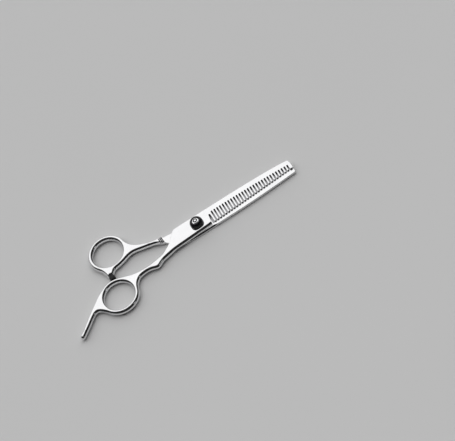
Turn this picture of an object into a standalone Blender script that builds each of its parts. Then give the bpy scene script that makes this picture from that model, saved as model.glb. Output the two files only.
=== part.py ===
"""Thinning shears, closed and lying flat: comb half, straight half, pivot with tension knob, ring stop.

Frame: the origin is on the pivot axis, in the plane that the shears lie on. +X runs to the blade
tips, +Y to the thumb ring and +Z up through the tension knob. Lengths below are in millimetres.
"""
import math

import bmesh
import bpy
import numpy as np
from mathutils import Vector
from mathutils.geometry import delaunay_2d_cdt

MM = 0.001
TURN = 2 * math.pi

# Mesh steps: along an outline, between points inside one, and off its edge
POINT_STEP = 1.6
INNER_SPACING = 0.45
GROOVE_SPACING = 0.25
EDGE_CLEARANCE = 0.12

# Heights of the two layers at the pivot
STACK = 4.6
LAYER = 2.25
STRAIGHT_TOP = LAYER
COMB_BOTTOM = STACK - LAYER
MID = STACK / 2

# Rings
RING_OUTER = 13.8
RING_HOLE = 10.3
FINGER_RING = (-67.1, -14.45)
THUMB_RING = (-59.3, 19.55)

# Rounding of the handles: how far in from the edge it reaches, and the height left at the edge
EDGE_REACH = 1.75
EDGE_REACH_WELD = 0.5
EDGE_LAND = 0.25
WELD_BLEND = (-31.0, -22.0)
WELD_UNDERSIDE = 0.5

# Weld lines between blades and handles
WELD_GAP = 0.05
FINGER_WELD_TOP = (-23.2, -1.75)
FINGER_WELD_LOW = (-20.8, -7.35)
COLLAR_END = -23.8
COLLAR_EDGES = (2.45, 7.2)
COLLAR_GROOVES = (-26.4, -25.4, -24.5)
COLLAR_GROOVE_DEPTH = 0.35
COLLAR_GROOVE_WIDTH = 0.28

# Tang
TANG_END = (-100.9, -26.4)
TANG_END_RADIUS = 1.8

# Blades
TIP_X = 72.0
BLADE_START = 10.0
BEVEL_RUN_IN = (4.0, 12.0)
COMB_THINNING = 0.35
STRAIGHT_THINNING = 0.3
CUTTING_THICKNESS = 0.35
CUTTING_SLOPE = 0.42
CUTTING_BEVEL = 4.5

# Comb
SLOTS = 28
PITCH = 2.115
FIRST_SLOT = 12.15
SLOT_WIDTH = 1.06
ROOT_LINE = ((12.0, 2.7), (30.0, 2.65), (45.0, 2.35), (58.0, 1.8), (70.0, 1.15))
TOOTH_TIP_LINE = ((11.0, -5.05), (40.0, -3.6), (72.0, -1.95))
TOOTH_TIP_THICKNESS = (1.2, 0.9)
CHOIL_ROOT = (9.85, 0.75)
CHOIL_RADIUS = 0.6

# Bumper boss and stop
STOP_X = -65.0
BOSS_END = 2.7
BOSS_EDGES = (-66.6, -63.4)
PAD_RADIUS = 1.95
PAD_FRONT = -0.5
STUD_RADIUS = 0.95
STUD_HOLE = 1.0
STUD_BACK = 6.8
STUD_FRONT = 1.2

# Pivot screw
ROUND_STEPS = 36
HEAD_RADIUS = 4.0
HEAD_RECESS = 4.1
HEAD_HEIGHT = 0.85
NECK_HALF = 2.2
JOURNAL = 2.1
JOURNAL_TOP = 4.95
THREAD = 1.25
THREAD_FLAT = 1.0
SCREW_TOP = 8.2
LOCK_SHANK = 0.6

# Gaps: a running fit, and what is left between pieces that touch
RUNNING = 0.06
TOUCH = 0.05

# Stack on the pivot screw, as (inner radius, outer radius, bottom, top)
RIDE_WASHER = (2.35, 4.4, 2.29, 2.56)
RIDE_RECESS = (4.5, 2.6)
BASE_WASHER = (JOURNAL + RUNNING, 3.4, 4.64, 4.94)
SPRING = (2.5, 3.4, 5.05, 5.70)
SPRING_STRIP = 0.25
SPRING_WAVES = 3
CLICK_RING = (THREAD + RUNNING, 3.4, 5.8, 6.4)
KNOB_BASE = 4.75
KNOB_TOP = 8.6
KNOB_CAVITY = (3.55, 6.45)
BUSH_BODY = 2.2
BUSH_FLANGE = 2.58
BUSH_BOTTOM = 6.5
BUSH_SHOULDER = 8.05
BUSH_TOP = 8.68
BUSH_COUNTERBORE = (1.52, 7.75)
LOCK_HEAD = (1.42, 8.25, 8.95)
LOCK_RIM = 0.05
LOCK_END = 5.7
BORE_END = 5.5


# ---------------------------------------------------------------- outlines

def arc(centre, radius, start, end, step=POINT_STEP):
    """Points on an arc between two angles in degrees, both ends included."""
    count = max(2, round(abs(math.radians(end - start)) * radius / step))
    angles = [math.radians(start + (end - start) * i / count) for i in range(count + 1)]
    return [(centre[0] + radius * math.cos(a), centre[1] + radius * math.sin(a)) for a in angles]


def on_ring(centre, degrees):
    """The point of a ring's outer circle at this angle."""
    a = math.radians(degrees)
    return (centre[0] + RING_OUTER * math.cos(a), centre[1] + RING_OUTER * math.sin(a))


def smooth(points, step=POINT_STEP):
    """Points about one step apart on a Catmull-Rom curve through the given points, ends left out."""
    first = tuple(2 * a - b for a, b in zip(points[0], points[1]))
    last = tuple(2 * a - b for a, b in zip(points[-1], points[-2]))
    knots = [first] + list(points) + [last]
    curve = []
    for p0, p1, p2, p3 in zip(knots, knots[1:], knots[2:], knots[3:]):
        count = max(1, round(math.dist(p1, p2) / step))
        for i in range(count):
            t = i / count
            curve.append(tuple(
                0.5 * (2 * b + (c - a) * t + (2 * a - 5 * b + 4 * c - d) * t * t
                       + (3 * b - a - 3 * c + d) * t ** 3)
                for a, b, c, d in zip(p0, p1, p2, p3)))
    return curve[1:]


def finger_outline():
    """Comb half's handle, counter-clockwise from the weld: shank top, ring, tang, ring, spur."""
    ring = FINGER_RING
    shank_top = [FINGER_WELD_TOP, (-26.5, -3.4), (-30, -4.7), (-35, -5.8), (-40, -6.4), (-45, -6.4),
                 (-49, -6.05), (-53, -5.1), (-57, -3.55), on_ring(ring, 69)]
    tang_top = [on_ring(ring, 125), (-79, -5.4), (-84, -9.4), (-90, -14.45), (-96, -19.9), (-99.4, -23.2)]
    tang_low = [(-99.4, -27.5), (-94, -23.1), (-89.5, -19.2), (-86.3, -16.8), (-84.2, -16.4),
                (-81.8, -18.0), on_ring(ring, 208)]
    shank_low = [on_ring(ring, 334), (-53, -15.4), (-51, -12.5), (-48.5, -10.8), (-45, -10.2),
                 (-42, -10.25), (-39.5, -10.9), (-37.4, -11.8), (-36.0, -12.1), (-34.5, -11.7),
                 (-32.5, -10.5), (-29.5, -9.2), (-25, -8.15), FINGER_WELD_LOW]
    outline = [FINGER_WELD_TOP] + smooth(shank_top)
    outline += arc(ring, RING_OUTER, 69, 125) + smooth(tang_top)
    outline += arc(TANG_END, TANG_END_RADIUS, 130, 310, 0.9) + smooth(tang_low)
    outline += arc(ring, RING_OUTER, 208, 334) + smooth(shank_low)
    return outline + [FINGER_WELD_LOW]


def thumb_outline():
    """Straight half's handle, counter-clockwise from the collar: shank top, ring, boss, ring, shank."""
    ring = THUMB_RING
    collar_top = (COLLAR_END, COLLAR_EDGES[1])
    collar_low = (COLLAR_END, COLLAR_EDGES[0])
    shank_top = [collar_top, (-26.5, 7.5), (-29, 8.35), (-33, 9.7), (-37, 11.5), (-40, 13.3),
                 (-43, 16.05), (-45, 19.4), on_ring(ring, 10)]
    boss_left = [on_ring(ring, 200), (-70.8, 12.0), (-69.2, 9.6), (-68.2, 7.0), (-67.6, 4.4),
                 (-67.2, 3.2), (BOSS_EDGES[0], BOSS_END)]
    boss_right = [(BOSS_EDGES[1], BOSS_END), (-62.5, 3.3), (-61.6, 4.5), (-60.2, 5.4), on_ring(ring, 276)]
    shank_low = [on_ring(ring, 286), (-52.5, 7.15), (-49, 8.4), (-45.5, 9.0), (-42, 8.5), (-38, 7.4),
                 (-34, 6.4), (-30.5, 5.35), (-27.5, 3.8), (-25.5, 2.7), collar_low]
    outline = [collar_top] + smooth(shank_top)
    outline += arc(ring, RING_OUTER, 10, 200) + smooth(boss_left)
    outline += [boss_left[-1], boss_right[0]] + smooth(boss_right, 0.9)
    outline += arc(ring, RING_OUTER, 276, 286) + smooth(shank_low)
    return outline + [collar_low]


def root_height(x):
    """The line on which the slots end."""
    xs, ys = zip(*ROOT_LINE)
    return float(np.interp(x, xs, ys))


def tooth_tip(x):
    """The line on which the teeth end."""
    xs, ys = zip(*TOOTH_TIP_LINE)
    return float(np.interp(x, xs, ys))


def comb_outline():
    """Toothed blade, counter-clockwise: ricasso, choil, slots, wide end tooth, tip, spine, shoulder."""
    half = SLOT_WIDTH / 2
    outline = [(FINGER_WELD_LOW[0] + WELD_GAP, FINGER_WELD_LOW[1])]
    outline += [(-17, -7.1), (-14, -6.95), (-11, -6.8), (-8, -6.65), (-5, -6.5), (-2, -6.3), (1, -6.2),
                (4, -6.05), (8.3, -5.85)]
    outline += arc(CHOIL_ROOT, CHOIL_RADIUS, 170, 0, 0.4)
    first_tooth = FIRST_SLOT - PITCH + half
    outline.append((first_tooth, tooth_tip(first_tooth)))
    for i in range(SLOTS):
        x = FIRST_SLOT + i * PITCH
        outline.append((x - half, tooth_tip(x - half)))
        outline += arc((x, root_height(x) - half), half, 180, 0, 0.4)
        outline.append((x + half, tooth_tip(x + half)))
    outline += [(TIP_X - 0.5, tooth_tip(TIP_X)), (TIP_X - 0.1, -2.6), (TIP_X, -1.0), (TIP_X - 0.1, 1.0)]
    outline += [(TIP_X - 0.4, 2.8), (TIP_X - 0.8, 4.1), (TIP_X - 1.5, 4.8)]
    outline += [(65, 5.35), (60, 5.7), (55, 5.95), (50, 6.15), (40, 6.4), (30, 6.55), (20, 6.6), (0, 6.65)]
    shoulder = [(-13.5, 6.65), (-15.4, 6.3), (-17.2, 4.8), (-19.0, 2.6), (-20.8, 0.3), (-22.2, -1.1),
                (FINGER_WELD_TOP[0] + WELD_GAP, FINGER_WELD_TOP[1])]
    return outline + [shoulder[0]] + smooth(shoulder) + [shoulder[-1]]


SPINE = [(0, -7.05), (20, -7.1), (30, -7.1), (40, -6.9), (50, -6.55), (60, -6.05), (70, -5.45)]
CUTTING_EDGE = [(70.4, 1.6), (60, 2.5), (45, 3.1), (28, 3.5), (12, 3.7)]


def straight_outline():
    """Plain blade, counter-clockwise: neck, ricasso, spine, tip, cutting edge, ricasso, neck."""
    end = COLLAR_END + WELD_GAP
    low, high = COLLAR_EDGES
    neck_low = [(end, low), (-22.3, 0.9), (-20.6, -1.2), (-18.4, -4.0), (-15.5, -5.7), (-11.5, -6.35),
                (-6, -6.8), (0, -7.05)]
    outline = [neck_low[0]] + smooth(neck_low) + SPINE
    outline += [(71.3, -5.35), (71.75, -4.95), (71.95, -4.0), (TIP_X, -2.0), (71.8, 0.0), (71.3, 1.2)]
    outline += CUTTING_EDGE + [(9.5, 4.0), (7.5, 5.4), (5, 6.2), (0, 6.35), (-12, 6.4)]
    neck_top = [(-12, 6.4), (-16, 6.45), (-19, 6.65), (-21.5, 6.95), (end, high)]
    return outline + smooth(neck_top) + [neck_top[-1]]


def ring_hole(centre):
    """Finger hole."""
    return arc(centre, RING_HOLE, 0, 360)[:-1]


# ---------------------------------------------------------------- flat pieces

def distance_to(points, path):
    """Distance from each point to the nearest stretch of a path given as pairs of points."""
    points = np.asarray(points, dtype=float)
    starts = np.array([a for a, b in path], dtype=float)
    spans = np.array([b for a, b in path], dtype=float) - starts
    lengths = np.maximum((spans ** 2).sum(axis=1), 1e-12)
    offset = points[:, None, :] - starts[None, :, :]
    along = np.clip((offset * spans[None]).sum(axis=2) / lengths[None], 0, 1)
    gap = offset - along[:, :, None] * spans[None]
    return np.sqrt((gap ** 2).sum(axis=2)).min(axis=1)


def closed_path(points):
    """Stretches of a closed line, as pairs of points."""
    return list(zip(points, points[1:] + points[:1]))


def open_path(points):
    """Stretches of an open line, as pairs of points."""
    return list(zip(points, points[1:]))


def inside(points, polygon):
    """Which points lie inside a polygon."""
    points = np.asarray(points, dtype=float)
    result = np.zeros(len(points), dtype=bool)
    for (x0, y0), (x1, y1) in closed_path(polygon):
        crosses = (y0 > points[:, 1]) != (y1 > points[:, 1])
        rise = y1 - y0 if y1 != y0 else 1e-12
        result ^= crosses & (points[:, 0] < (x1 - x0) * (points[:, 1] - y0) / rise + x0)
    return result


def inset_points(loop, path, distances):
    """Points at each distance inwards from a loop, without those that lie nearer to another edge."""
    found = []
    before = loop[-1:] + loop[:-1]
    after = loop[1:] + loop[:1]
    for a, p, b in zip(before, loop, after):
        tangent = Vector((b[0] - a[0], b[1] - a[1])).normalized()
        found.append([(p[0] - tangent.y * d, p[1] + tangent.x * d) for d in distances(p)])
    kept = []
    for level in zip(*found):
        reach = distance_to(level, closed_path(loop))
        clear = distance_to(level, path)
        kept += [q for q, r, c in zip(level, reach, clear) if c > 0.93 * r and c > 0.05]
    return kept


def thin_out(points, spacing):
    """Leave out points closer than the spacing to one already kept."""
    kept = []
    for p in points:
        if all(abs(p[0] - q[0]) > spacing or math.dist(p, q) > spacing for q in kept):
            kept.append(p)
    return kept


def flat_piece(name, outline, holes, top, bottom, material, extra=()):
    """A closed solid over an outline with holes. top and bottom give its heights at plan points."""
    loops = [outline] + list(holes)
    plan = [Vector(p) for loop in loops for p in loop]
    edges = []
    start = 0
    for loop in loops:
        edges += [(start + i, start + (i + 1) % len(loop)) for i in range(len(loop))]
        start += len(loop)
    plan += [Vector(p) for p in extra]
    plan, _, faces, _, _, _ = delaunay_2d_cdt(plan, edges, [], 0, 1e-5)
    xy = np.array([(v.x, v.y) for v in plan])
    middles = np.array([xy[list(face)].mean(axis=0) for face in faces])
    keep = inside(middles, outline)
    for hole in holes:
        keep &= ~inside(middles, hole)
    faces = [tuple(face) for face, kept in zip(faces, keep) if kept]
    upper = top(xy)
    lower = bottom(xy)
    mesh = bmesh.new()
    used = sorted({i for face in faces for i in face})
    above = {i: mesh.verts.new((xy[i][0] * MM, xy[i][1] * MM, upper[i] * MM)) for i in used}
    below = {i: mesh.verts.new((xy[i][0] * MM, xy[i][1] * MM, lower[i] * MM)) for i in used}
    sides = set()
    for a, b, c in faces:
        mesh.faces.new((above[a], above[b], above[c]))
        mesh.faces.new((below[c], below[b], below[a]))
        for edge in ((a, b), (b, c), (c, a)):
            sides ^= {edge} if (edge[1], edge[0]) not in sides else {(edge[1], edge[0])}
    for a, b in sorted(sides):
        mesh.faces.new((above[b], above[a], below[a], below[b]))
    return add_object(name, mesh, material)


def level(height):
    """The same height everywhere."""
    return lambda xy: np.full(len(xy), height)


def towards_weld(x):
    """Share of the way from the full handle to its weld end, eased at both ends."""
    t = np.clip((np.asarray(x) - WELD_BLEND[0]) / (WELD_BLEND[1] - WELD_BLEND[0]), 0, 1)
    return t * t * (3 - 2 * t)


def edge_reach(x):
    """How far the edge rounding reaches inwards: less towards the weld, where the piece turns flat."""
    return EDGE_REACH + (EDGE_REACH_WELD - EDGE_REACH) * towards_weld(x)


def rounded_piece(name, outline, holes, square_ends, material, grooves=(), underside=1.0):
    """A handle with oval edges all round, except along its square ends, each given by its two corners.

    underside is the share of its depth below the middle that is left at the weld.
    """
    square = [set(end) for end in square_ends]
    path = [s for s in closed_path(outline) if set(s) not in square]
    for hole in holes:
        path += closed_path(hole)
    shares = [1 - math.cos(math.radians(a)) for a in (30, 60, 90)]
    extra = []
    for loop in [outline] + [hole[::-1] for hole in holes]:
        extra += inset_points(loop, path, lambda p: [s * float(edge_reach(p[0])) for s in shares])
    for x in grooves:
        for side in (-1, 0, 1):
            at = x + side * COLLAR_GROOVE_WIDTH
            extra += [(at, y) for y in np.linspace(COLLAR_EDGES[0] - 1, COLLAR_EDGES[1] + 1, 12)]
    clear = distance_to(extra, closed_path(outline)) > EDGE_CLEARANCE
    extra = [p for p, kept in zip(extra, clear & inside(extra, outline)) if kept]
    extra = thin_out(extra, GROOVE_SPACING if grooves else INNER_SPACING)

    def half_height(xy):
        share = np.clip(distance_to(xy, path) / edge_reach(xy[:, 0]), 0, 1)
        rise = np.sqrt(1 - (1 - share) ** 2)
        for x in grooves:
            depth = np.clip(1 - np.abs(xy[:, 0] - x) / COLLAR_GROOVE_WIDTH, 0, 1)
            rise = rise * (1 - depth * COLLAR_GROOVE_DEPTH / MID)
        return EDGE_LAND + (MID - EDGE_LAND) * rise

    def depth(xy):
        return half_height(xy) * (1 - (1 - underside) * towards_weld(xy[:, 0]))

    return flat_piece(name, outline, holes, lambda xy: MID + half_height(xy),
                      lambda xy: MID - depth(xy), material, extra)


# ---------------------------------------------------------------- round pieces

def circle(radius):
    """Radius at an angle: the same all round."""
    return lambda angle: radius


def square(half):
    """Radius at an angle for a square of this half width."""
    return lambda angle: half / max(abs(math.cos(angle)), abs(math.sin(angle)))


def two_flats(radius, flat):
    """Radius at an angle for a round with two flats, this far from the centre."""
    return lambda angle: min(radius, flat / max(abs(math.sin(angle)), 1e-9))


def turned(name, profile, material, ring=False):
    """Turn a profile of (radius, height) about Z. A ring's profile closes, a solid's ends are capped."""
    mesh = bmesh.new()
    rows = []
    for radius, height in profile:
        shape = radius if callable(radius) else circle(radius)
        row = []
        for i in range(ROUND_STEPS):
            angle = TURN * i / ROUND_STEPS
            reach = shape(angle)
            z = height(angle) if callable(height) else height
            row.append(mesh.verts.new((reach * math.cos(angle) * MM, reach * math.sin(angle) * MM, z * MM)))
        rows.append(row)
    pairs = list(zip(rows, rows[1:]))
    if ring:
        pairs.append((rows[-1], rows[0]))
    for low, high in pairs:
        for i in range(ROUND_STEPS):
            j = (i + 1) % ROUND_STEPS
            mesh.faces.new((low[i], low[j], high[j], high[i]))
    if not ring:
        mesh.faces.new(rows[0][::-1])
        mesh.faces.new(rows[-1])
    bmesh.ops.recalc_face_normals(mesh, faces=mesh.faces)
    return add_object(name, mesh, material)


def washer(name, size, material, bore=None):
    """A flat ring of (inner radius, outer radius, bottom, top), or with a bore of another shape."""
    inner, outer, bottom, top = size
    bore = bore or circle(inner)
    return turned(name, [(outer, bottom), (outer, top), (bore, top), (bore, bottom)], material, ring=True)


# ---------------------------------------------------------------- scene helpers

def add_object(name, mesh, material):
    """Make an object from a bmesh, with smooth shading on its round stretches."""
    data = bpy.data.meshes.new(name)
    mesh.to_mesh(data)
    mesh.free()
    data.shade_smooth()
    data.set_sharp_from_angle(angle=math.radians(35))
    made = bpy.data.objects.new(name, data)
    bpy.context.scene.collection.objects.link(made)
    if material:
        data.materials.append(material)
    return made


def make_material(name, colour, roughness, metallic):
    """A plain Principled material."""
    material = bpy.data.materials.new(name)
    material.use_nodes = True
    shader = material.node_tree.nodes["Principled BSDF"]
    shader.inputs["Base Color"].default_value = (*colour, 1)
    shader.inputs["Roughness"].default_value = roughness
    shader.inputs["Metallic"].default_value = metallic
    return material


def cut(target, cutter):
    """Cut one object by another, which stays out of the build."""
    cutter.hide_render = True
    cutter.display_type = "WIRE"
    modifier = target.modifiers.new(cutter.name, "BOOLEAN")
    modifier.operation = "DIFFERENCE"
    modifier.solver = "EXACT"
    modifier.object = cutter


def lay_along_minus_y(made, x, z):
    """Turn a piece that was made about Z so that its +Z points along -Y, at this place."""
    made.rotation_euler = (math.pi / 2, 0, 0)
    made.location = (x * MM, 0, z * MM)


# ---------------------------------------------------------------- sub-parts

def along_blade(xy):
    """Share of the way from the blade's start to its tip."""
    return np.clip((xy[:, 0] - BLADE_START) / (TIP_X - BLADE_START), 0, 1)


def make_comb_blade(steel):
    """Comb blade: flat inner face, outer face that thins to the tip and down the teeth, bore, recess."""
    bore = arc((0, 0), JOURNAL + RUNNING, 0, 360, TURN * JOURNAL / ROUND_STEPS)[:-1]
    start, end = TOOTH_TIP_THICKNESS

    def top(xy):
        share = along_blade(xy)
        spine = LAYER - COMB_THINNING * share
        root = np.array([root_height(x) for x in xy[:, 0]])
        tip = np.array([tooth_tip(x) for x in xy[:, 0]])
        down = np.clip((root - xy[:, 1]) / (root - tip), 0, 1) * (xy[:, 0] > BLADE_START)
        return COMB_BOTTOM + spine + (start + (end - start) * share - spine) * down

    extra = [(BLADE_START, y) for y in (1.8, 3.2, 4.8, 6.2)]
    extra += [(x, root_height(x) + 0.15) for x in (TIP_X - 0.6, 20, 30, 40, 50, 60)]
    blade = flat_piece("comb_blade", comb_outline(), [bore], top, level(COMB_BOTTOM), steel, extra)
    radius, ceiling = RIDE_RECESS
    cut(blade, turned("cut_washer_recess", [(radius, COMB_BOTTOM - 1), (radius, ceiling)], None))
    return blade


def make_straight_blade(steel):
    """Straight blade: flat inner face on top, bevel to the cutting edge below, screw head recess, hole."""
    run_in, full = BEVEL_RUN_IN

    def bottom(xy):
        cutting = CUTTING_THICKNESS + CUTTING_SLOPE * distance_to(xy, open_path(CUTTING_EDGE))
        blade = np.minimum(cutting, LAYER - STRAIGHT_THINNING * along_blade(xy))
        share = np.clip((xy[:, 0] - run_in) / (full - run_in), 0, 1)
        return STRAIGHT_TOP - (LAYER + (blade - LAYER) * share)

    extra = [(x, y - CUTTING_BEVEL) for x, y in CUTTING_EDGE[1:]]
    extra += [(run_in, 5.6), (full, -0.8)]
    blade = flat_piece("straight_blade", straight_outline(), [], level(STRAIGHT_TOP), bottom, steel, extra)
    cut(blade, turned("cut_head_recess", [(HEAD_RECESS, -1), (HEAD_RECESS, HEAD_HEIGHT + TOUCH)], None))
    hole = square(NECK_HALF + RUNNING)
    cut(blade, turned("cut_square_hole", [(hole, -1), (hole, LAYER + 1)], None))
    return blade


def make_finger_handle(steel):
    """Comb half's handle."""
    return rounded_piece("finger_handle", finger_outline(), [ring_hole(FINGER_RING)],
                         [(FINGER_WELD_LOW, FINGER_WELD_TOP)], steel, underside=WELD_UNDERSIDE)


def make_thumb_handle(steel):
    """Straight half's handle, with grooves across its collar and a stud hole in its boss."""
    handle = rounded_piece("thumb_handle", thumb_outline(), [ring_hole(THUMB_RING)],
                           [[(COLLAR_END, y) for y in COLLAR_EDGES], [(x, BOSS_END) for x in BOSS_EDGES]],
                           steel, COLLAR_GROOVES)
    hole = turned("cut_stud_hole", [(STUD_HOLE, -STUD_BACK - 0.2), (STUD_HOLE, 0)], None)
    lay_along_minus_y(hole, STOP_X, MID)
    cut(handle, hole)
    return handle


def make_stop(rubber, steel):
    """Rubber stop between the rings, and the stud moulded into it."""
    socket_end = TOUCH - STUD_FRONT
    back = TOUCH - BOSS_END
    front = -PAD_FRONT
    pad = turned("bumper_pad", [
        (STUD_HOLE, socket_end), (STUD_HOLE, back), (PAD_RADIUS - 0.2, back), (PAD_RADIUS, back + 0.2),
        (PAD_RADIUS, front - 0.5), (PAD_RADIUS - 0.2, front - 0.15), (PAD_RADIUS - 0.6, front)], rubber)
    lay_along_minus_y(pad, STOP_X, MID)
    stud = turned("bumper_stud", [(STUD_RADIUS, -STUD_BACK), (STUD_RADIUS, -STUD_FRONT)], steel)
    lay_along_minus_y(stud, STOP_X, MID)
    return pad, stud


def make_pivot_screw(steel):
    """Flat head, square neck, journal, and a threaded end with two flats and a tapped hole."""
    neck = square(NECK_HALF)
    end = two_flats(THREAD, THREAD_FLAT)
    bore = LOCK_SHANK + TOUCH
    return turned("pivot_screw", [
        (HEAD_RADIUS, 0), (HEAD_RADIUS, HEAD_HEIGHT), (neck, HEAD_HEIGHT), (neck, STRAIGHT_TOP),
        (JOURNAL, STRAIGHT_TOP), (JOURNAL, JOURNAL_TOP), (end, JOURNAL_TOP), (end, SCREW_TOP),
        (bore, SCREW_TOP), (bore, BORE_END)], steel)


def make_spring(steel):
    """Ring spring with three waves."""
    inner, outer, bottom, top = SPRING
    swing = (top - bottom - SPRING_STRIP) / 2
    middle = (top + bottom) / 2

    def strip(side):
        return lambda angle: middle + swing * math.cos(SPRING_WAVES * angle) + side * SPRING_STRIP / 2

    profile = [(outer, strip(-1)), (outer, strip(1)), (inner, strip(1)), (inner, strip(-1))]
    return turned("tension_spring", profile, steel, ring=True)


def make_knob(black):
    """Domed knob, hollow below for the spring and bored for its bush."""
    cavity, roof = KNOB_CAVITY
    bore = BUSH_BODY + TOUCH
    recess = BUSH_FLANGE + TOUCH
    shoulder = BUSH_SHOULDER - TOUCH
    outside = [(4.35, KNOB_BASE), (4.5, KNOB_BASE + 0.15), (4.5, 5.45), (4.36, 5.55), (4.36, 5.75),
               (4.46, 5.85), (4.42, 6.4), (4.25, 7.0), (3.92, 7.65), (3.45, 8.2), (3.05, 8.5),
               (2.85, KNOB_TOP)]
    within = [(recess, KNOB_TOP), (recess, shoulder), (bore, shoulder), (bore, roof), (cavity, roof),
              (cavity, KNOB_BASE)]
    return turned("tension_knob", outside + within, black, ring=True)


def make_bush(chrome):
    """Threaded bush pressed into the knob, with a flange that shows as a bright ring."""
    bore = THREAD + RUNNING
    counterbore, floor = BUSH_COUNTERBORE
    return turned("knob_bush", [
        (BUSH_BODY, BUSH_BOTTOM), (BUSH_BODY, BUSH_SHOULDER), (BUSH_FLANGE, BUSH_SHOULDER),
        (BUSH_FLANGE, BUSH_TOP - 0.15), (BUSH_FLANGE - 0.15, BUSH_TOP), (counterbore, BUSH_TOP),
        (counterbore, floor), (bore, floor), (bore, BUSH_BOTTOM)], chrome, ring=True)


def make_lock_screw(chrome):
    """Domed screw in the end of the pivot screw. Its head keeps the knob on."""
    radius, seat, crown = LOCK_HEAD
    rim = seat + LOCK_RIM
    dome = [(radius * math.cos(math.radians(a)), rim + (crown - rim) * math.sin(math.radians(a)))
            for a in (0, 25, 50, 70, 85)]
    return turned("lock_screw", [
        (LOCK_SHANK, LOCK_END), (LOCK_SHANK, seat), (radius, seat)] + dome, chrome)


def main():
    """Build the shears."""
    for old in list(bpy.data.objects):
        bpy.data.objects.remove(old, do_unlink=True)
    steel = make_material("polished_steel", (0.80, 0.80, 0.81), 0.12, 1.0)
    plain_steel = make_material("plain_steel", (0.62, 0.62, 0.63), 0.3, 1.0)
    chrome = make_material("bright_plating", (0.85, 0.85, 0.86), 0.08, 1.0)
    black = make_material("black_knob", (0.012, 0.012, 0.014), 0.4, 0.0)
    rubber = make_material("black_rubber", (0.015, 0.015, 0.016), 0.7, 0.0)
    nylon = make_material("nylon", (0.75, 0.74, 0.70), 0.5, 0.0)
    make_comb_blade(steel)
    make_finger_handle(steel)
    make_straight_blade(steel)
    make_thumb_handle(steel)
    make_stop(rubber, plain_steel)
    make_pivot_screw(plain_steel)
    washer("ride_washer", RIDE_WASHER, nylon)
    washer("base_washer", BASE_WASHER, nylon)
    make_spring(plain_steel)
    washer("click_ring", CLICK_RING, plain_steel, two_flats(CLICK_RING[0], THREAD_FLAT + RUNNING))
    make_knob(black)
    make_bush(chrome)
    make_lock_screw(chrome)


main()
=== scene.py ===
"""Looks of the thinning shears: mirror-polished halves, black tension knob, stop, studio and camera.

Lengths are in millimetres until a mesh is made. The flat pieces take their plan from the frame's nodes.
"""

import math

import bmesh
import bpy
import numpy as np
from mathutils import Matrix, Vector
from mathutils.geometry import delaunay_2d_cdt


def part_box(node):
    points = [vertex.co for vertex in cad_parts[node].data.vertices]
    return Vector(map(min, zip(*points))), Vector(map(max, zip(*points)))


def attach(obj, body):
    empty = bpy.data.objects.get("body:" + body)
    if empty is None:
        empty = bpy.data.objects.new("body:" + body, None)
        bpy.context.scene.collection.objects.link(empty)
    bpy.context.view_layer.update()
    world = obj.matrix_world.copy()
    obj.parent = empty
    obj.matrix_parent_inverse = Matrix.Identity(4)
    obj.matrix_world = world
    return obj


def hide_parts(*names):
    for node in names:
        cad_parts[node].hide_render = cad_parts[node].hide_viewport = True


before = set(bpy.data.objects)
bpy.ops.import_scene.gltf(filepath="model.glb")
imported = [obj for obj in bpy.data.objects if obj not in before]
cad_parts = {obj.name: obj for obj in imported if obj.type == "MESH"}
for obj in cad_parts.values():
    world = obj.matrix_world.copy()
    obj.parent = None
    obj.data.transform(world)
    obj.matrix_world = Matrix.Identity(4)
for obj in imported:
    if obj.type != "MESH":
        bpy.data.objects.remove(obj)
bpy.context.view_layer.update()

MM = 0.001
TURN = 2 * math.pi

# Outlines: the longest step on curves and on straights, how many times its neighbour's length keeps a
# span straight, the most that one step turns, and the turn that stays a corner
LONGEST_STEP = 0.8
STRAIGHT_STEP = 1.0
STRAIGHT_RATIO = 2.5
STEP_TURN = math.radians(12)
CORNER_TURN = math.radians(50)

# A weld is longer than this, and points closer than this are the same spot
LEAST_WELD = 2.0
SAME_SPOT = 0.02

# Fineness of the meshes: steps of the lines across a piece, along its slopes and along its ground
# border, steps of a circle, rows of points on a narrow and on a wide rounded edge, and how much of its
# inset a point keeps from all edges
ACROSS_STEP = 0.13
SLOPE_STEP = 1.5
BORDER_STEP = 3.0
ROUND_STEPS = 96
NARROW_ROWS = 4
WIDE_ROWS = 9
WIDE_REACH = 0.8
CLEAR_SHARE = 0.93

# Width in plan of a pocket's wall, the least thickness of a piece, and the angle of a sharp edge
POCKET_WALL = 0.01
LEAST_THICKNESS = 0.04
SHARP_EDGE = math.radians(36)

# Heights of the layers: the straight half's inner face, the comb half's inner face, the top of both
STRAIGHT_TOP = 2.25
COMB_BOTTOM = 2.35
TOP = 4.6

# Rounding, as (reach inwards, drop from the top, rise from the bottom), along a superellipse
EDGE_POWER = 1.5
HANDLE_EDGE = (1.75, 2.26, 2.26)
COLLAR_EDGE = (0.5, 2.26, 2.26)
NEAR_EDGE = (1.75, 2.2, 0.03)
SPINE_EDGE = (0.5, 0.45, 0.03)
TOOTH_EDGE = (0.14, 0.12, 0.03)
BORE_EDGE = (0.1, 0.1, 0.03)
NECK_EDGE = (0.4, 0.2, 0.4)
BACK_EDGE = (0.4, 0.25, 0.4)
BACK_NEAR_PIVOT = (1.8, 1.4, 0.4)
BACK_BLEND = (8.0, 12.0)
CUTTING_EDGE = (0.05, 0.01, 0.02)

# Which edge is where: bores lie nearer to the pivot than this, the ricasso ends here, the teeth start
# here, and the near and far sides of the comb half lie beyond these
BORE_ZONE = 3.3
RICASSO_END = 8.31
TEETH_START = 8.0
NEAR_SIDE = -4.3
FAR_SIDE = 4.3

# Where the comb half's edges turn from handle to blade, and where its underside rises, across a line
WELD_BLEND = (-31.0, -21.0)
WELD_LINE = ((-23.2, -1.75), (-20.8, -7.35))
WELD_RISE = (-8.0, 0.9)

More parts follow.
